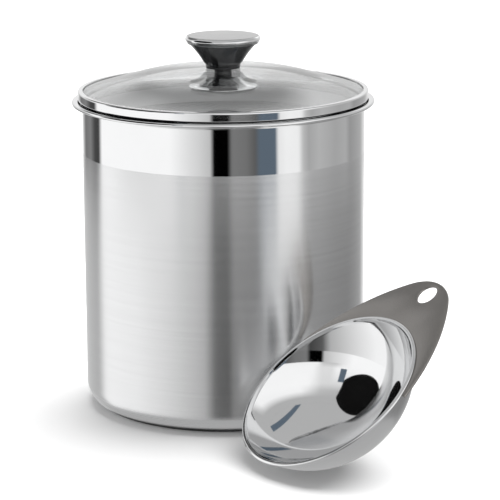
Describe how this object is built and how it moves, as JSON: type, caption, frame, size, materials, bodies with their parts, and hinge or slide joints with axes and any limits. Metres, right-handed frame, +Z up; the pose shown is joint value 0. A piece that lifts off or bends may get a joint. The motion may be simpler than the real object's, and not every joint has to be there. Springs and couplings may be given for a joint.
{
  "type": "lidded canister",
  "caption": "Steel storage canister with a flared lip, a domed glass lid with a steel rim and a flared knob, and a loose round scoop that leans on it.",
  "frame": {"origin": "middle of the flat base of the canister, which stands on z = 0", "axes": "+Z up along the canister's axis; -Y towards the viewer, with the scoop at the front right (+X, -Y)"},
  "size_m": [0.2049, 0.2579, 0.2129],
  "materials": {
    "satin_steel": "satin, brushed round the body; polished above the brushed part",
    "polished_steel": "mirror polished stainless steel",
    "lid_glass": "clear tempered glass",
    "silicone": "dark matte silicone",
    "black_phenolic": "glossy black",
    "brass": "turned",
    "screw_steel": "plain"
  },
  "bodies": {
    "canister": {"canister_shell": "satin_steel"},
    "lid": {"lid_band": "polished_steel", "lid_glass": "lid_glass", "upper_seal_washer": "silicone", "lower_seal_washer": "silicone", "knob_grip": "black_phenolic", "knob_cap": "polished_steel", "knob_insert": "brass", "clamp_cup": "polished_steel", "spring_washer": "screw_steel", "knob_screw": "screw_steel"},
    "scoop": {"scoop_bowl": "polished_steel", "scoop_handle": "satin_steel"}
  },
  "joints": [
    {"name": "lid_lift", "type": "slide", "parent": "canister", "child": "lid", "axis": [0, 0, 1], "range_m": [0, 0.12]},
    {"name": "scoop_slide", "type": "slide", "parent": "canister", "child": "scoop", "axis": [0.3875, -0.9219, 0], "range_m": [0, 0.15]}
  ]
}
